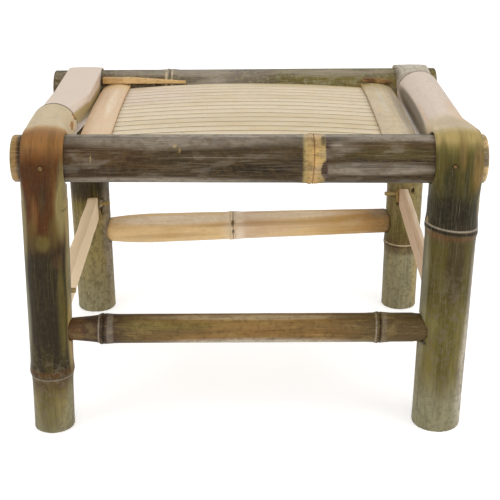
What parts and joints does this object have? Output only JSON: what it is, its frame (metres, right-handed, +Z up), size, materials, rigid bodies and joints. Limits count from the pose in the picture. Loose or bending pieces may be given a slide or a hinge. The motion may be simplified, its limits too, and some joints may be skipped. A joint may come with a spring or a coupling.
{
  "type": "bamboo stool",
  "caption": "Low bamboo stool: heat-bent culm legs wrap the long rails, a domed seat of split slats lies between them under cover battens, and stretchers tie the legs.",
  "frame": {"origin": "on the floor, under the middle of the stool", "axes": "+X along the long rails to the right of someone who faces the front, +Y from the front rail to the rear rail, +Z up"},
  "size_m": [0.4025, 0.306, 0.2812],
  "materials": {
    "front_rail": "weathered culm skin, dull, grey-brown",
    "rear_rail": "weathered culm skin, dull, grey-olive",
    "pole_left": "culm skin, satin, olive, scorched brown at the bend",
    "pole_right": "culm skin, satin, yellow-green",
    "front_stretcher": "thin culm, satin, brown and golden",
    "rear_stretcher": "thin culm, satin, golden tan",
    "side_stretcher": "fresh split, matt, pale pink",
    "slat": "scraped split skin, satin, pale yellow-green",
    "batten": "scraped split skin, satin, pinkish tan",
    "seat_bar": "split pole, matt, straw",
    "filler": "split strip, satin, orange-brown",
    "peg": "whittled peg, matt, straw"
  },
  "bodies": {
    "root": {"front_rail": "front_rail", "rear_rail": "rear_rail", "pole_front_left": "pole_left", "pole_front_right": "pole_right", "pole_rear_left": "pole_left", "pole_rear_right": "pole_right", "front_stretcher": "front_stretcher", "rear_stretcher": "rear_stretcher", "side_stretcher_left": "side_stretcher", "side_stretcher_right": "side_stretcher", "seat_bar_left": "seat_bar", "seat_bar_middle": "seat_bar", "seat_bar_right": "seat_bar", "batten_left": "batten", "batten_right": "batten", "filler_strip": "filler", "rail_wedge": "filler", "strap_pegs": "peg", "side_pegs": "peg", "batten_pegs": "peg", "slat_01": "slat", "slat_02": "slat", "slat_03": "slat", "slat_04": "slat", "slat_05": "slat", "slat_06": "slat", "slat_07": "slat", "slat_08": "slat", "slat_09": "slat", "slat_10": "slat", "slat_11": "slat", "slat_12": "slat", "slat_13": "slat", "slat_14": "slat", "slat_15": "slat"}
  },
  "joints": []
}
